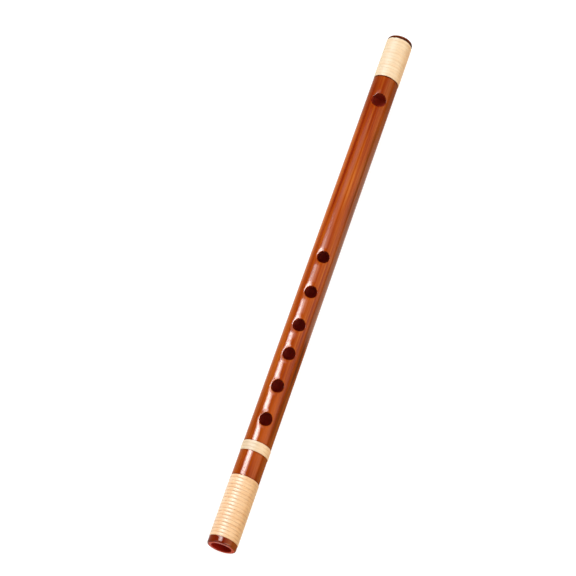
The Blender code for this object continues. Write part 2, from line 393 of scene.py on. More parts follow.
for hole in holes:
    removed = pick(bamboo, "FACE", lambda face: in_rectangle(hole, face.calc_center_median()))
    bpy.ops.mesh.delete(type="FACE")
    edges = pick(bamboo, "EDGE", lambda edge: edge.is_boundary and all(
        in_rectangle(hole, vert.co, TOUCH) for vert in edge.verts))
    for share in RING_SHARES:
        bpy.ops.mesh.extrude_edges_indiv()
        move_picked(bamboo, ring_place(hole, share))
    print(f"{hole['name']}: {removed} faces removed, rim of {edges} edges")

# %% [markdown]
# Solidify gives the plate the thickness of the bamboo wall. Each seat is a shallow recess that the
# maker shaves for the cane, so its faces are extruded downwards. The faces along the slit are
# deleted, because the two long sides meet once the plate is rolled.

# %% Give the wall its thickness and shave the seats
SEAT_DEPTH = 0.80 * MM
half_round = pi * FLAT_RADIUS
apply_modifier(bamboo, "SOLIDIFY", thickness=WALL, offset=-1.0, use_rim=True)
edit(bamboo)
for low, high in seats:
    count = pick(bamboo, "FACE", lambda face: low < face.calc_center_median().x < high
                 and all(at(vert.co.z, 0.0) for vert in face.verts))
    bpy.ops.mesh.extrude_region_move(TRANSFORM_OT_translate={"value": (0.0, 0.0, -SEAT_DEPTH)})
    print(f"seat {low / MM:.2f} to {high / MM:.2f} mm: {count} faces lowered")
slit = pick(bamboo, "FACE", lambda face: all(at(abs(vert.co.y), half_round) for vert in face.verts))
bpy.ops.mesh.delete(type="ONLY_FACE")
bpy.ops.mesh.select_all(action="SELECT")
bpy.ops.mesh.delete_loose()
print("faces along the slit removed:", slit)

# %% [markdown]
# No edge on a real flute is a knife edge. The foot's outer edge is well rounded where the hand and
# the table wear it, the holes' rims are only just broken, and so are the shoulders of the seats.

# %% Break the edges
SHARP_ANGLE = radians(60.0)
BORE_BREAK, SHOULDER_BREAK = 0.40 * MM, 0.12 * MM
RIM_BREAK, INNER_RIM_BREAK = 0.28 * MM, 0.30 * MM


def is_sharp(edge):
    return edge.is_manifold and edge.calc_face_angle() > SHARP_ANGLE


def bevel_where(test, width, segments):
    """Bevel the sharp edges that pass a test on both of their ends."""
    count = pick(bamboo, "EDGE", lambda edge: is_sharp(edge)
                 and all(test(vert.co) for vert in edge.verts))
    bpy.ops.mesh.bevel(offset=width, segments=segments, affect="EDGES", clamp_overlap=False)
    print(f"{count} edges bevelled by {width / MM:.2f} mm")


shoulders = [station for seat in seats for station in seat]
bevel_where(lambda point: at(point.x, 0.0) and at(point.z, 0.0), FOOT_ROUNDING, 6)
bevel_where(lambda point: at(point.x, 0.0) and at(point.z, -WALL), BORE_BREAK, 3)
bevel_where(lambda point: at(point.z, 0.0) and any(at(point.x, place) for place in shoulders),
            SHOULDER_BREAK, 3)
for hole in holes:
    bevel_where(lambda point: at(point.z, 0.0) and in_rectangle(hole, point), RIM_BREAK, 3)
    bevel_where(lambda point: at(point.z, -WALL) and in_rectangle(hole, point), INNER_RIM_BREAK, 2)
bpy.ops.object.mode_set(mode="OBJECT")

# %% [markdown]
# Before the plate is rolled, every vertex notes where it lay: its station, its way round and its
# depth below the skin. The lacquer reads this note, to tell skin from bore. Rolling is then one
# formula for each vertex. The shoulders of a seat follow the cane's thread, with one step at the
# back. Beside a hole the depth is taken straight down, so that its walls stay upright. Elsewhere it
# is taken towards the axis, so that the columns lie evenly round the bore. The skin dips a quarter
# of a millimetre towards each finger hole, and that dish bends the stripe of light round it.

# %% Roll the plate into a tube
SHIFT_FLAT, SHIFT_FADE = 0.8 * MM, 3.0 * MM
HEAD_RIM = 0.08 * MM             # least bamboo left between the head seat and the cut end
DISH_REACH = 3.2 * MM
UPRIGHT_FADE = 10.0 * MM         # past a hole's rows, where depth turns back towards the axis
WAVE_HEIGHT, WAVE_LENGTH = 0.045 * MM, 55.0 * MM
WAVES_ROUND = 1.2                # radius of the circle of noise, which is closed, as the tube is
upright = HALF_HOLE_COLUMNS * column_width / FLAT_RADIUS


def thread_shift(angle, binding, is_upper):
    """How far a shoulder moves along the flute at an angle, to follow the cane beside it."""
    wound = -angle
    if is_upper and wound > TAIL:
        wound -= 2 * pi
    if not is_upper and wound < -TAIL:
        wound += 2 * pi
    return binding.pitch * wound / (2 * pi)


def slanted(station, angle):
    """The station once the shoulders near it follow the cane."""
    moved = station
    for binding, seat in zip(BINDINGS, seats):
        for is_upper, shoulder in enumerate(seat):
            weight = (SHIFT_FADE - abs(station - shoulder)) / (SHIFT_FADE - SHIFT_FLAT)
            if weight > 0.0:
                moved += min(weight, 1.0) * thread_shift(angle, binding, is_upper)
    if station < tube_length - HEAD_RIM:
        return min(moved, tube_length - HEAD_RIM)
    return station


def unevenness(station, angle):
    """Bamboo is never quite round or straight: a few hundredths of a millimetre in or out."""
    point = (WAVES_ROUND * cos(angle), WAVES_ROUND * sin(angle), station / WAVE_LENGTH)
    return WAVE_HEIGHT * noise.noise(point)


def dish(station, angle):
    """How far the skin falls away towards the nearest hole, where fingers and lips wear it."""
    hole = min(holes, key=lambda hole: abs(hole["station"] - station))
    if abs(angle) > pi / 2:
        return 0.0
    across = bamboo_radius(station) * sin(angle) / (hole["width"] / 2)
    along = (station - hole["station"]) / (hole["length"] / 2)
    from_rim = (sqrt(along ** 2 + across ** 2) - 1.0) * hole["width"] / 2
    share = 1.0 - max(from_rim, 0.0) / DISH_REACH
    return hole["dish"] * share ** 2 if share > 0.0 else 0.0


def uprightness(station):
    """1 beside a hole and 0 well away from it: how far depth is taken straight down."""
    past = min(abs(station - hole["station"]) - hole["reach"] for hole in holes)
    return 1.0 - min(max(past, 0.0) / UPRIGHT_FADE, 1.0)


def roll(flat):
    """Carry a point of the plate to its place on the standing tube."""
    angle = flat.y / FLAT_RADIUS
    station = slanted(flat.x, angle)
    outside = bamboo_radius(station)
    radius = outside + flat.z * (outside - BORE_RADIUS) / WALL
    radius -= dish(station, angle) * (1.0 + flat.z / WALL)
    inner_limit = asin(min(1.0, outside * sin(upright) / radius))
    if abs(angle) <= upright:
        turned = asin(max(-1.0, min(1.0, outside * sin(angle) / radius)))
    else:
        turned = inner_limit + (abs(angle) - upright) * (pi - inner_limit) / (pi - upright)
        turned = turned if angle > 0 else -turned
    turned = angle + uprightness(flat.x) * (turned - angle)
    radius += unevenness(station, turned)
    return Vector((radius * cos(turned), radius * sin(turned), station))


note = bamboo.data.attributes.new("plate", "FLOAT_VECTOR", "POINT")
for vert in bamboo.data.vertices:
    note.data[vert.index].vector = vert.co
    vert.co = roll(vert.co.copy())
finish_shape(bamboo)
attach(bamboo, "root")
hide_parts("bamboo_tube")

# %% [markdown]
# ## The cane
# Split cane is flat on the inside and crowned on the skin side. It starts here as a short length of
# that D shape, made from a circle whose lower half is pressed flat. An Array modifier repeats it
# into a straight strip, as long as the cane that the binder cuts, and then the strip is wound on.

# %% Make straight cane
SECTION_POINTS = 20
STEPS_PER_TURN = 72
EDGE_HEIGHT = 0.62              # height of the strip's edges, as a share of its thickness
SLACK = 0.001                   # on a circle of radius 1


def straight_strip(binding):
    """A strip along X, from -1 to 1 across Y and from 0 to 1 in height, with the angle as X."""
    step = 2 * pi / STEPS_PER_TURN
    count = round(binding.travel / step)
    step = binding.travel / count
    start_clean()
    bpy.ops.mesh.primitive_circle_add(vertices=SECTION_POINTS, radius=1.0,
                                      rotation=(pi / 2, 0.0, pi / 2))
    strip = bpy.context.object
    bpy.ops.object.transform_apply(location=True, rotation=True, scale=True)
    edit(strip)
    pick(strip, "VERT", lambda vert: vert.co.z < -SLACK)
    bpy.ops.transform.resize(value=(1.0, 1.0, 0.0), center_override=(0.0, 0.0, 0.0))
    pick(strip, "VERT", lambda vert: vert.co.z > SLACK
         or vert.co.z > -SLACK and abs(vert.co.y) > 1.0 - SLACK)
    bpy.ops.transform.resize(value=(1.0, 1.0, 1.0 - EDGE_HEIGHT), center_override=(0.0, 0.0, 0.0))
    bpy.ops.transform.translate(value=(0.0, 0.0, EDGE_HEIGHT))
    bpy.ops.mesh.select_all(action="SELECT")
    bpy.ops.mesh.extrude_edges_indiv()
    bpy.ops.transform.translate(value=(step, 0.0, 0.0))
    apply_modifier(strip, "ARRAY", count=count, use_relative_offset=False, use_constant_offset=True,
                   constant_offset_displace=(step, 0.0, 0.0), use_merge_vertices=True,
                   merge_threshold=step * 0.01)
    edit(strip)
    bpy.ops.mesh.select_all(action="SELECT")
    bpy.ops.mesh.fill_holes(sides=0)
    bpy.ops.object.mode_set(mode="OBJECT")
    return strip


# %% [markdown]
# Winding takes the strip's length as the angle, and spreads its width between the two seams beside
# it. The cane is also thinned towards its two ends, which are tucked down at the back, and the
# crowns are pressed level where the flute lies on them.

# %% Wind the cane
CANE_THICKNESS = 1.02 * MM
END_TAPER = radians(14.0)
END_THICKNESS = 0.45            # thickness left at the tucked ends, as a share


def wind(binding):
    """Wind a straight strip into its seat, and return the finished piece."""
    strip = straight_strip(binding)
    strip.name = strip.data.name = binding.node + "_cane"
    note = strip.data.attributes.new("cane", "FLOAT_VECTOR", "POINT")
    ground = LAY_DOWN.inverted()
    for vert in strip.data.vertices:
        angle, across, height = vert.co.x - TAIL, vert.co.y, vert.co.z
        low, high = binding.edges(angle)
        station = low + (high - low) * (across + 1) / 2
        to_end = min(vert.co.x, binding.travel - vert.co.x)
        thinned = END_THICKNESS + (1.0 - END_THICKNESS) * min(1.0, to_end / END_TAPER)
        crown_top = bamboo_radius(station) + CANE_PROUD
        bottom = crown_top - CANE_THICKNESS
        fall = binding.crown * (1.0 - height) / (1.0 - EDGE_HEIGHT)
        lift = CANE_THICKNESS - fall if height > EDGE_HEIGHT / 2 else 0.0
        radius = bottom + lift * thinned
        note.data[vert.index].vector = (bamboo_radius(station) * vert.co.x, across, height)
        place = LAY_DOWN @ Vector((radius * cos(angle), -radius * sin(angle), station))
        place.z = max(place.z, 0.0)
        vert.co = ground @ place
    finish_shape(strip)
    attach(strip, "root")
    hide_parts(binding.node)
    return strip


canes = [wind(binding) for binding in BINDINGS]

# %% [markdown]
# ## The head cap, the stopper and the wax
# The head is closed in three parts. A cork stopper sits in the bore, a face of wax on it ends the
# air column, and a low lacquered cap closes the tube. All three are turned shapes, and each is a
# cylinder first: bevels round it, insets and small moves raise the cap's dome or hollow the wax,
# and an extrusion makes the spigot that holds the cap in the bore.

# %% Turn the cap
FIT = 0.30 * MM
CAP_PROUD = 0.10 * MM
CAP_ROUNDING = 1.6 * MM
CAP_DOME = 0.4 * MM
SPIGOT_LENGTH = 8.0 * MM
LEAN_ROOM = 0.01 * MM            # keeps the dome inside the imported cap, because the axis leans
PLUG_RADIUS = BORE_RADIUS - FIT
TURNED_SIDES, CROWN_RINGS = 96, 6
cap_low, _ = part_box("head_cap")
cap_seat = tube_length + FIT
cap_top = station_of(cap_low.x) - LEAN_ROOM


def turned_blank(name, start, end, radius):
    """A cylinder standing on one station and ending at another, open in edit mode."""
    start_clean()
    bpy.ops.mesh.primitive_cylinder_add(vertices=TURNED_SIDES, radius=radius, depth=end - start,
                                        location=(0.0, 0.0, (start + end) / 2))
    blank = bpy.context.object
    blank.name = blank.data.name = name
    bpy.ops.object.transform_apply(location=True, rotation=False, scale=False)
    edit(blank)
    return blank


def pick_end(blank, kind, station):
    """Select the flat end FACE at a station, or the EDGE elements round it."""
    pick(blank, kind, lambda element: all(at(vert.co.z, station) for vert in element.verts))


def crown_end(blank, station, radius, rise):
    """Inset an end face ring by ring, raise the rings on a shallow curve, and close the middle."""
    pick_end(blank, "FACE", station)
    height = 0.0
    for ring in range(1, CROWN_RINGS):
        bpy.ops.mesh.inset(thickness=radius / CROWN_RINGS, depth=0.0)
        target = rise * (1.0 - (1.0 - ring / CROWN_RINGS) ** 2)
        bpy.ops.transform.translate(value=(0.0, 0.0, target - height))
        height = target
    bpy.ops.mesh.merge(type="COLLAPSE")


cap_radius = bamboo_radius(cap_seat) + CAP_PROUD
edge_top = cap_top - CAP_DOME
cap = turned_blank("turned_cap", cap_seat, edge_top, cap_radius)
pick_end(cap, "FACE", cap_seat)
bpy.ops.mesh.inset(thickness=cap_radius - PLUG_RADIUS, depth=0.0)
bpy.ops.mesh.extrude_region_move(TRANSFORM_OT_translate={"value": (0.0, 0.0, -SPIGOT_LENGTH)})
pick_end(cap, "EDGE", edge_top)
bpy.ops.mesh.bevel(offset=CAP_ROUNDING, segments=8, affect="EDGES", clamp_overlap=False)
crown_end(cap, edge_top, cap_radius - CAP_ROUNDING, CAP_DOME)
finish_shape(cap)
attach(cap, "root")
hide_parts("head_cap")

# %% Turn the stopper and the wax
BACK_HOLLOW = 0.1 * MM


def plug(name, node, chamfer, hollow):
    """A plug in the bore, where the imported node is, with its foot side face hollowed."""
    low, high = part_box(node)
    start, end = station_of(high.x), station_of(low.x)
    piece = turned_blank(name, start, end, PLUG_RADIUS)
    pick_end(piece, "EDGE", end)
    bpy.ops.mesh.bevel(offset=chamfer, segments=3, affect="EDGES", clamp_overlap=False)
    crown_end(piece, start, PLUG_RADIUS, hollow)
    crown_end(piece, end, PLUG_RADIUS - chamfer, -BACK_HOLLOW)
    finish_shape(piece)
    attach(piece, "root")
    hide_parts(node)
    return piece


stopper = plug("cork_stopper", "stopper", 0.6 * MM, 0.1 * MM)
wax = plug("poured_wax", "wax_face", 0.2 * MM, 0.7 * MM)

# %% [markdown]
# ## Finishes
# A finish is a small sum: a colour here, a little more of it there, less where a mask says so.
# Nodes hide such sums in a web of links, so a small class lets them be written as sums. A Wire
# stands for one output socket, and arithmetic on Wires adds the Math nodes.

# %% Write shader sums as sums


class Wire:
    """One output socket of a node. Arithmetic on it adds a Math node."""

    def __init__(self, finish, socket):
        self.finish, self.socket = finish, socket

    def math(self, operation, first, second):
        return self.finish.node("ShaderNodeMath", {"operation": operation}, {0: first, 1: second})

    def __add__(self, other):
        return self.math("ADD", self, other)

    def __sub__(self, other):
        return self.math("SUBTRACT", self, other)

    def __rsub__(self, other):
        return self.math("SUBTRACT", other, self)

    def __mul__(self, other):
        return self.math("MULTIPLY", self, other)

    def __truediv__(self, other):
        return self.math("DIVIDE", self, other)

    def __rtruediv__(self, other):
        return self.math("DIVIDE", other, self)

    __radd__, __rmul__ = __add__, __mul__


class Finish:
    """A material, and the one method that adds any node to it."""

    def __init__(self, name):
        self.material = bpy.data.materials.new(name)
        self.material.use_nodes = True
        self.tree = self.material.node_tree
        self.shader = self.tree.nodes["Principled BSDF"]

    def node(self, kind, settings=None, inputs=None, output=0):
        """Add a node: its settings first, then values or links for its sockets. Returns a Wire."""
        node = self.tree.nodes.new(kind)
        for name, value in (settings or {}).items():
            if name == "stops":
                ramp = node.color_ramp
                while len(ramp.elements) < len(value):
                    ramp.elements.new(1.0)
                for element, (position, color) in zip(ramp.elements, value):
                    element.position, element.color = position, (*color, 1.0)
            else:
                setattr(node, name, value)
        for name, value in (inputs or {}).items():
            self.feed(node.inputs[name], value)
        return Wire(self, node.outputs[output])

    def feed(self, socket, value):
        """Link a Wire to a socket, or set the socket's value."""
        if isinstance(value, Wire):
            self.tree.links.new(value.socket, socket)
        elif socket.type == "RGBA" and len(value) == 3:
            socket.default_value = (*value, 1.0)
        else:
            socket.default_value = value

    def set(self, **sockets):
        """Feed the shader's own sockets, with an underscore for each space in a socket's name."""
        for name, value in sockets.items():
            self.feed(self.shader.inputs[name.replace("_", " ")], value)

    def place(self):
        return self.node("ShaderNodeTexCoord", output="Object")

    def sideways(self):
        """How many millimetres a place lies to the right of the flute's middle."""
        return self.node("ShaderNodeSeparateXYZ", inputs={0: self.place()}, output="Y") / MM

    def grain(self, scale, detail=3.0, roughness=0.5, offset=(0.0, 0.0, 0.0)):
        """Noise in object space, with a scale for each axis, which can draw it out into fibres."""
        moved = self.node("ShaderNodeMapping", inputs={"Vector": self.place(), "Scale": scale,
                                                       "Location": offset})
        return self.noise(moved, detail, roughness)

    def noise(self, vector, detail=3.0, roughness=0.5):
        return self.node("ShaderNodeTexNoise", inputs={"Vector": vector, "Scale": 1.0,
                                                       "Detail": detail, "Roughness": roughness})

    def step(self, value, low, high):
        """0 below low, 1 above high and a smooth rise between, or the reverse if high is lower."""
        return self.node("ShaderNodeMapRange", {"interpolation_type": "SMOOTHSTEP"},
                         {"Value": value, "From Min": low, "From Max": high})

    def absolute(self, value):
        return self.node("ShaderNodeMath", {"operation": "ABSOLUTE"}, {0: value})

    def ramp(self, value, stops):
        return self.node("ShaderNodeValToRGB", {"stops": stops}, {"Fac": value})

    def mix(self, low, high, share, kind="MIX"):
        """Mix two colours by a share."""
        return self.node("ShaderNodeMix", {"data_type": "RGBA", "blend_type": kind},
                         {0: share, 6: low, 7: high}, output=2)

    def parts(self, attribute):
        """The three numbers of a vector that the mesh carries."""
        vector = self.node("ShaderNodeAttribute", {"attribute_name": attribute}, output="Vector")
        return [self.node("ShaderNodeSeparateXYZ", inputs={0: vector}, output=axis)
                for axis in "XYZ"]

    def bump(self, height, distance, strength):
        return self.node("ShaderNodeBump", inputs={"Height": height, "Distance": distance,
                                                   "Strength": strength})

    def give(self, piece):
        piece.data.materials.clear()
        piece.data.materials.append(self.material)
        print(f"{piece.name}: {self.material.name}, {len(self.tree.nodes)} nodes")


# %% [markdown]
# ## Lacquer over bamboo
# Thin brown lacquer lets the bamboo's fibres show as streaks, orange where the skin was pale and
# red-brown where the lacquer pooled. They are noise drawn out along X, both broad and fine. The
# lacquer is duller low on both sides: all along the left, and towards both ends on the right, where
# the flank keeps a plain colour; along the middle of the right flank the colour is a paler, milkier
# painted sheen. The note taken on the flat plate gives the places, from here on in millimetres.

# %% Mix the skin of the bamboo
GOLDEN_SIDE = (0.370, 0.088, 0.005)
MOUTH_BROWN, HEAD_BROWN = (0.140, 0.018, 0.001), (0.150, 0.022, 0.002)
PAINTED_SHEEN_FLANK, PLAIN_END_FLANK = (0.270, 0.112, 0.034), (0.265, 0.080, 0.012)
SKIN_TONES = [(0.35, (0.136, 0.011, 0.001)), (0.45, (0.212, 0.026, 0.001)),
              (0.54, (0.276, 0.048, 0.003)), (0.65, (0.365, 0.098, 0.010))]

lacquer = Finish("clear_brown_lacquer")
step, mix = lacquer.step, lacquer.mix
station, way_round, depth = [part / MM for part in lacquer.parts("plate")]
broad = lacquer.grain((6.0, 300.0, 300.0), detail=2.0)
fibres = lacquer.grain((16.0, 1000.0, 1000.0), detail=3.0, roughness=0.6)
cloud = lacquer.grain((26.0, 70.0, 70.0), detail=2.0, offset=(3.0, 1.0, 0.0))
skin = lacquer.ramp(broad * 0.54 + fibres * 0.30 + cloud * 0.16, SKIN_TONES)
left_flank = step(way_round, -6.5, -9.5)
right_flank = step(way_round, 6.0, 10.5)
sheenless_ends = step(station, 172.0, 152.0) + step(station, 305.0, 350.0) * 0.8
beside_mouth = step(station, 325.0, 362.0) * step(way_round, -4.0, -7.0)
skin = mix(skin, GOLDEN_SIDE, left_flank * 0.5)
# Right flank: a paler, milkier painted sheen along the middle, and a plain colour towards both ends.
skin = mix(skin, mix(PAINTED_SHEEN_FLANK, PLAIN_END_FLANK, sheenless_ends), right_flank * 0.5)
skin = mix(skin, MOUTH_BROWN, beside_mouth * 0.6)
skin = mix(skin, HEAD_BROWN, step(station, 340.0, 370.0) * 0.4)
lowest_left = step(way_round, -9.8, -11.8)
left_dull = step(way_round, -5.0, -7.5) * (1.0 - lowest_left * 0.4)
right_dull = sheenless_ends * step(way_round, 5.5, 8.0)
print("nodes for the skin:", len(lacquer.tree.nodes))

# %% [markdown]
# A few streaks are laid where the photograph shows them, each with an angle, a width and
# the stations between which it runs. The broad noise makes their edges waver.

# %% Lay the streaks
DEEP_RED, RED_BROWN = (0.150, 0.009, 0.001), (0.200, 0.022, 0.001)
BROWN, PALE_ORANGE = (0.130, 0.026, 0.003), (0.410, 0.112, 0.016)
CLEAR_BROWN, DARK_BROWN = (0.345, 0.064, 0.004), (0.065, 0.012, 0.003)
STREAK_FADE, STREAK_STRENGTH = 12.0, 0.75
STREAKS = (                     # angle, width in mm, first and last station in mm, colour
    (-45, 2.6, 185, 258, RED_BROWN),
    (-40, 2.4, 262, 377, DEEP_RED),
    (-9, 2.2, 290, 335, RED_BROWN),
    (-15, 2.4, 322, 384, RED_BROWN),
    (16, 5.0, 62, 118, CLEAR_BROWN),
    (33, 2.2, 50, 84, CLEAR_BROWN),
    (50, 1.6, 84, 116, BROWN),
    (58, 2.0, 125, 165, DARK_BROWN),
    (40, 2.0, 262, 340, BROWN),
    (7, 1.3, 270, 300, PALE_ORANGE),
    (-2, 1.8, 330, 384, DEEP_RED),
)
for angle, width, first, last, color in STREAKS:
    beside = lacquer.absolute(way_round - radians(angle) * FLAT_RADIUS / MM)
    begins = step(station, first - STREAK_FADE, first + STREAK_FADE)
    ends = step(station, last + STREAK_FADE, last - STREAK_FADE)
    near = step(beside + broad * 0.8, width + 0.4, 0.4)
    skin = mix(skin, color, near * begins * ends * STREAK_STRENGTH)
print(len(STREAKS), "streaks laid")

# %% [markdown]
# A thin dark line runs along every edge of the cane, darkest at the head, and the stub past the
# foot binding is a darker red-brown.

# %% Draw the dark lines
DARK_LINE = (0.050, 0.006, 0.001)
LINE_SHARES = (0.40, 0.40, 0.85)        # how dark the lines are at each binding
STUB_RED, STUB_BROWN = (0.115, 0.006, 0.001), (0.210, 0.045, 0.006)

foot_edge, head_edge = seats[0][0] / MM, seats[2][1] / MM
line = step(station, head_edge, head_edge + 0.05)
for seat, share in zip(seats, LINE_SHARES):
    for shoulder, side in zip(seat, (-1.0, 1.0)):
        away = (station - shoulder / MM) * side
        line = line + step(away, 1.60, 0.30) * step(away, -0.9, -0.8) * share
skin = mix(skin, DARK_LINE, step(line, 0.0, 1.0))
stub = step(station, foot_edge + 0.2, foot_edge - 0.8)
stub_color = mix(STUB_RED, STUB_BROWN, step(way_round, 0.0, 8.0))
skin = mix(skin, stub_color, stub * 0.80)
print(f"dark lines at {len(shoulders)} shoulders")

# %% [markdown]
# The depth then says where the skin ends. The bore is deep red, the foot face is bare pink-brown
# end grain, and the walls of the holes are dark. Light goes to and fro in a real bore and leaves
# no black corner: a faint glow, stronger on the right, stands in for that, and farther from the foot
# the bore's colour is lighter, which is painted light as well.

# %% Colour the bore, the walls and the foot face
WALL_TONES = (0.160, 0.018, 0.008), (0.240, 0.036, 0.014)
BORE_TONES = (0.230, 0.006, 0.002), (0.300, 0.014, 0.006)
PAINTED_LIGHT_BORE, GLOW = (0.450, 0.060, 0.036), (1.0, 0.10, 0.035)
END_TONES = [(0.35, (0.420, 0.056, 0.030)), (0.60, (0.620, 0.115, 0.068))]

wall = WALL / MM
cut = step(depth, -0.06, -0.40) * (1.0 - step(station, 1.25, 1.15))
bored = step(depth, 0.30 - wall, 0.06 - wall)
deep_inside = step(station, 25.0, 70.0)
end_grain = (step(station, 0.14, 0.02) * step(depth, -0.85, -1.15)
             * step(depth, 0.10 - wall, 0.42 - wall))
pores = lacquer.grain((200.0, 1500.0, 1500.0), detail=2.0)
# Farther from the foot the bore is painted lighter, painted light for the light that bounces in it.
bore_color = mix(mix(*BORE_TONES, cloud), PAINTED_LIGHT_BORE, deep_inside)
base = mix(skin, mix(*WALL_TONES, fibres), cut)
base = mix(base, bore_color, bored)
base = mix(base, lacquer.ramp(pores, END_TONES), end_grain)
glow = 0.026 - step(station, 140.0, 230.0) * 0.012
glow = glow * step(lacquer.sideways(), -5.0, 4.0) + step(station, 300.0, 350.0) * 0.018
gloss = (1.0 - end_grain * 0.7) * (1.0 - left_dull * 0.85) * (1.0 - right_dull * 0.90)
gloss = gloss * (1.0 - right_flank * 0.50) * (1.0 - bored * 0.85)
lacquer.set(Base_Color=base, Roughness=0.40 + fibres * 0.15, Coat_Weight=gloss, Coat_Roughness=0.06,
            Coat_IOR=1.4, Specular_IOR_Level=0.0, Emission_Strength=1.0,
            Emission_Color=mix((0.0, 0.0, 0.0), GLOW, bored * deep_inside * glow))
lacquer.set(Normal=lacquer.bump(fibres + cloud * 0.6, distance=0.02 * MM, strength=0.35))
lacquer.give(bamboo)

# %% [markdown]
# ## Cane
# Split cane is cream, with fine straight fibres and a soft gloss. Its tone drifts along the strip,
# and the seams are darker, more in some places than in others. The pattern follows the strip,
# through the note of how far along it and how far across each vertex lay. A ramp across the flute
# paints light and shade into the cane's colour: bluer under the highlight, warmer at the right edge.

# %% Colour the cane
def cane_finish(name, pale, warm, painted_light_stops, seam_color, seam_share, seam_least, gloss):
    cane = Finish(name)
    along, across, _ = cane.parts("cane")

    def drawn_out(along_scale, across_scale, seed, detail, roughness=0.5):
        place = cane.node("ShaderNodeCombineXYZ",
                          inputs={0: along * along_scale, 1: across * across_scale, 2: seed})
        return cane.noise(place, detail, roughness)

    fibres = drawn_out(60.0, 5.0, 0.0, detail=3.0, roughness=0.6)
    patches = drawn_out(22.0, 0.4, 3.0, detail=2.0)
    # Noise along the strip that sets how dark each stretch of seam is, and where the short dark
    # strokes fall.
    seam_noise = drawn_out(75.0, 0.0, 8.0, detail=2.0)
    side = cane.sideways()
    color = cane.mix(pale, warm, cane.step(patches * 0.7 + fibres * 0.3, 0.38, 0.66))
    seam_darkness = cane.step(seam_noise, 1.0 - seam_share, 1.15 - seam_share)
    seam_darkness = seam_darkness * (0.75 - seam_least) + seam_least
    strokes = cane.step(seam_noise, 0.50, 0.58) * cane.step(side, -1.0, 4.0) * 0.40
    seam = cane.step(cane.absolute(across), 0.82, 1.0) * (seam_darkness + strokes)
    color = cane.mix(color, seam_color, seam)
    # Painted light and shade, multiplied into the colour by a ramp across the flute.
    painted_light = cane.ramp(side * 0.05 + 0.5, painted_light_stops)        # from 10 mm left to 10 mm right
    held = cane.step(side, 2.0, 12.0)
    cane.set(Base_Color=cane.mix(color, painted_light, 1.0, kind="MULTIPLY"), Roughness=0.46 + fibres * 0.16,
             Coat_Weight=(1.0 - held * 0.7) * gloss, Coat_Roughness=0.36, Specular_IOR_Level=0.24)
    cane.set(Normal=cane.bump(fibres, distance=0.03 * MM, strength=0.4))
    return cane


# Painted light and shade across the cane, from 10 mm left of the middle to 10 mm right: bluer under
# the highlight, warmer at the right edge. The first is for the foot binding, the second for the ring
# and the head binding.
END_PAINTED_LIGHT = [(0.00, (0.95, 0.92, 0.94)), (0.10, (0.96, 0.89, 0.86)), (0.20, (0.95, 0.86, 0.85)),
             (0.28, (0.92, 0.90, 0.98)), (0.36, (0.87, 0.88, 1.00)), (0.45, (0.86, 0.86, 0.95)),
             (0.50, (0.88, 0.85, 0.88)), (0.58, (0.875, 0.83, 0.80)),
             (0.74, (0.89, 0.825, 0.76)), (0.81, (0.915, 0.833, 0.745)),
             (0.86, (0.90, 0.77, 0.62)), (1.00, (0.80, 0.65, 0.38))]
HEAD_PAINTED_LIGHT = [(0.00, (0.73, 0.71, 0.67)), (0.30, (0.73, 0.745, 0.83)),
              (0.45, (0.71, 0.715, 0.745)), (0.50, (0.725, 0.712, 0.716)),
              (0.60, (0.785, 0.75, 0.75)), (0.75, (0.88, 0.85, 0.84)),
              (0.83, (0.925, 0.845, 0.785)), (0.87, (0.93, 0.82, 0.705)),
              (0.93, (0.91, 0.755, 0.59)), (1.00, (0.86, 0.66, 0.48))]
end_cane = cane_finish("polished_cane", pale=(0.74, 0.52, 0.305), warm=(0.69, 0.435, 0.225),
                       painted_light_stops=END_PAINTED_LIGHT, seam_color=(0.48, 0.23, 0.09), seam_share=0.50,
                       seam_least=0.26, gloss=0.95)
head_cane = cane_finish("pale_cane", pale=(0.775, 0.620, 0.412), warm=(0.745, 0.545, 0.332),
                        painted_light_stops=HEAD_PAINTED_LIGHT, seam_color=(0.46, 0.22, 0.09), seam_share=0.42,
                        seam_least=0.06, gloss=0.35)
end_cane.give(canes[0])
head_cane.give(canes[1])
head_cane.give(canes[2])

# %% [markdown]
# ## Cap, cork and wax
# The cap has the same lacquer as the bamboo but many more coats, so it is almost black-brown with a
# faint grain. Cork is a pale brown with dark pores and no gloss. The photograph shows nothing pale
# through the mouth hole, so the wax is a cloudy dark red, with the bore's faint glow.

# %% Finish the small pieces
CAP_TONES = [(0.35, (0.080, 0.012, 0.001)), (0.65, (0.160, 0.030, 0.004))]
CORK_TONES = (0.20, 0.10, 0.045), (0.52, 0.33, 0.17)
WAX_TONES, WAX_GLOW = ((0.170, 0.016, 0.006), (0.240, 0.030, 0.012)), (0.034, 0.002, 0.0007)

cap_finish = Finish("dark_brown_lacquer")
cap_grain = cap_finish.grain((30.0, 420.0, 420.0), detail=3.0)
cap_finish.set(Base_Color=cap_finish.ramp(cap_grain, CAP_TONES), Roughness=0.40 + cap_grain * 0.10,
               Coat_Weight=0.8, Coat_Roughness=0.10, Specular_IOR_Level=0.0)
cap_finish.set(Normal=cap_finish.bump(cap_grain, distance=0.02 * MM, strength=0.4))
cap_finish.give(cap)

cork = Finish("cork_grain")
cork_pores = cork.node("ShaderNodeTexVoronoi", inputs={"Vector": cork.place(), "Scale": 900.0})
cork_cloud = cork.grain((300.0, 300.0, 300.0), detail=4.0)
cork_pale = cork.step(cork_pores + cork_cloud * 0.4, 0.15, 0.75)
cork.set(Base_Color=cork.mix(*CORK_TONES, cork_pale), Roughness=0.82 + cork_cloud * 0.1)
cork.set(Normal=cork.bump(cork_pores, distance=0.15 * MM, strength=0.6))
cork.give(stopper)

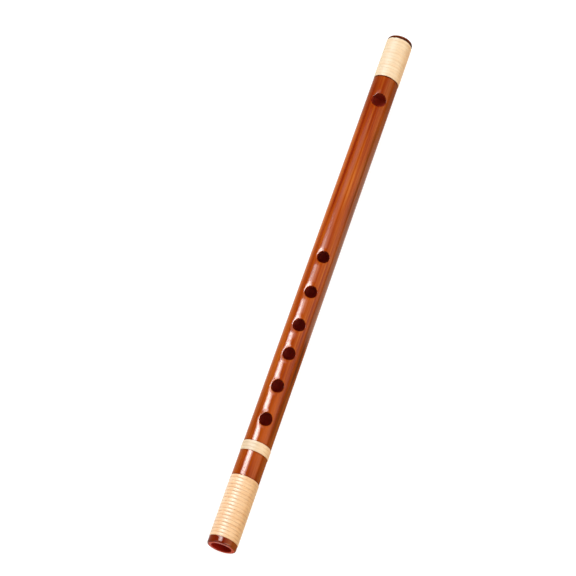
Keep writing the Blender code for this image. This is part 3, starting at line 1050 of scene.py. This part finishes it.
wax_finish = Finish("poured_beeswax")
wax_cloud = wax_finish.grain((220.0, 220.0, 220.0), detail=3.0)
wax_finish.set(Base_Color=wax_finish.mix(*WAX_TONES, wax_cloud), Roughness=0.38 + wax_cloud * 0.15,
               Emission_Color=WAX_GLOW, Emission_Strength=1.0)
wax_finish.set(Normal=wax_finish.bump(wax_cloud, distance=0.1 * MM, strength=0.4))
wax_finish.give(wax)

# %% [markdown]
# ## Floor and light
# Glossy lacquer shows the lights as much as its own colour, so they are placed by reflection. For a
# place in the lacquer, one function finds the point above the flute that the camera sees mirrored
# there, and a panel is laid between four such points. The bright stripe beside the finger holes is
# the image of a softbox of narrow panels, brightest in the middle, so that its edges are soft. It
# turns a few degrees round the bamboo towards the foot and fades towards the head. A wide dim haze
# does the same for the milky side on the right. The foot panel and the left panel stand on the
# camera's side, where this camera never sees them mirrored, so they only brighten the colours. The
# floor is white and bright, so that hardly any shadow is left.

# %% Lay the floor
FLOOR_SIZE, FLOOR_DROP = 12.0, 0.2 * MM
FLOOR_GLOW, WORLD_LIGHT = 0.90, 0.08

start_clean()
bpy.ops.mesh.primitive_plane_add(size=FLOOR_SIZE, location=(0.0, 0.0, -FLOOR_DROP))
floor = bpy.context.object
floor.name = "floor"
paper = Finish("white_paper")
paper_cloud = paper.grain((3.0, 3.0, 3.0), detail=1.0)
paper.set(Base_Color=paper.mix((0.20, 0.20, 0.20), (0.22, 0.22, 0.22), paper_cloud), Roughness=0.9,
          Specular_IOR_Level=0.0, Emission_Color=(1.0, 1.0, 1.0), Emission_Strength=FLOOR_GLOW)
paper.give(floor)

# %% Hang the lights
PANEL_HEIGHT = 1.0


def mirrored(station, angle):
    """The point at panel height that the camera sees in the lacquer at a station and an angle."""
    turn = Vector((cos(angle), sin(angle), 0.0))
    place = LAY_DOWN @ (turn * bamboo_radius(station) + Vector((0.0, 0.0, station)))
    outwards = LAY_DOWN.to_3x3() @ turn
    ray = (place - camera.location).reflect(outwards)
    return place + ray * (PANEL_HEIGHT - place.z) / ray.z


def panel(name, middle, aim, along, length, width, radiance, color=(1.0, 1.0, 1.0)):
    """A rectangular light that looks at a point, with its long side along a direction."""
    start_clean()
    bpy.ops.object.light_add(type="AREA", location=middle)
    light = bpy.context.object
    light.name = name
    back = (Vector(middle) - Vector(aim)).normalized()
    long_side = Vector(along)
    long_side = (long_side - long_side.dot(back) * back).normalized()
    light.rotation_euler = Matrix((long_side, back.cross(long_side), back)).transposed().to_euler()
    light.data.shape = "RECTANGLE"
    light.data.size, light.data.size_y = length, width
    light.data.energy = radiance * pi * length * width
    light.data.color = color
    print(f"{name}: {length:.2f} by {width:.2f} m, {light.data.energy:.1f} W")


def stripe(name, stations, angles, radiance, turn=0.0):
    """A level panel whose mirror image in the lacquer covers these stations and angles.

    The angles hold at the last station, and the turn is added to them at the first.
    """
    ends = [[mirrored(station * MM, radians(angle + extra)) for angle in angles]
            for station, extra in zip(stations, (turn, 0.0))]
    first, last = [(left + right) / 2 for left, right in ends]
    direction = (last - first).normalized()
    width = sum((left - right).cross(direction).length for left, right in ends) / 2
    middle = (first + last) / 2
    panel(name, middle, middle - Vector((0.0, 0.0, 1.0)), direction, (last - first).length,
          width, radiance)


def softbox(name, stations, angles, radiances, turn=0.0):
    """Stripes side by side that share a range of angles, each with its own radiance."""
    step = (angles[1] - angles[0]) / len(radiances)
    for number, radiance in enumerate(radiances):
        low = angles[0] + number * step
        stripe(f"{name}_{number + 1}", stations, (low, low + step), radiance, turn)


softbox("low_softbox", (-90.0, 45.0), (-17.5, -2.5), (9.0, 16.5, 16.5, 8.0))
softbox("softbox", (45.0, 150.0), (-29.0, -8.0), (8.0, 22.0, 31.0, 31.0, 26.0, 14.0, 7.0), turn=4.5)
softbox("upper_softbox", (150.0, 195.0), (-29.0, -10.0), (8.0, 21.0, 28.0, 26.0, 18.0, 9.0))
softbox("softbox_fade", (195.0, 245.0), (-28.0, -7.0), (2.0, 7.0, 10.0, 9.0, 6.0, 3.0))
softbox("softbox_tail", (245.0, 345.0), (-24.0, -3.0), (0.8, 1.3, 1.5, 1.5, 1.2, 0.8))
softbox("soft_shoulder", (165.0, 250.0), (-10.0, 3.0), (3.0, 1.6, 0.7))
softbox("haze", (-40.0, 420.0), (6.0, 36.0), (0.40, 0.45, 0.45))
panel("foot_panel", middle=(0.62, 0.80, 1.00), aim=(-0.05, 0.0, 0.0), along=(-0.8, 0.6, 0.0),
      length=1.1, width=1.0, radiance=3.8, color=(1.0, 0.95, 0.87))
panel("left_panel", middle=(0.75, -0.75, 0.90), aim=(0.15, 0.0, 0.0), along=(0.6, 0.8, 0.0),
      length=0.8, width=0.8, radiance=1.0)
panel("side_panel", middle=(0.0, 1.30, 0.85), aim=(0.0, 0.0, 0.0), along=(1.0, 0.0, 0.0),
      length=1.8, width=1.1, radiance=0.60, color=(1.0, 0.76, 0.52))

world = bpy.context.scene.world or bpy.data.worlds.new("studio")
bpy.context.scene.world = world
world.use_nodes = True
background = world.node_tree.nodes["Background"]
background.inputs["Color"].default_value = (1.0, 1.0, 1.0, 1.0)
background.inputs["Strength"].default_value = WORLD_LIGHT
bpy.context.scene.view_settings.view_transform = "Standard"

# %% Clear the selection
start_clean()
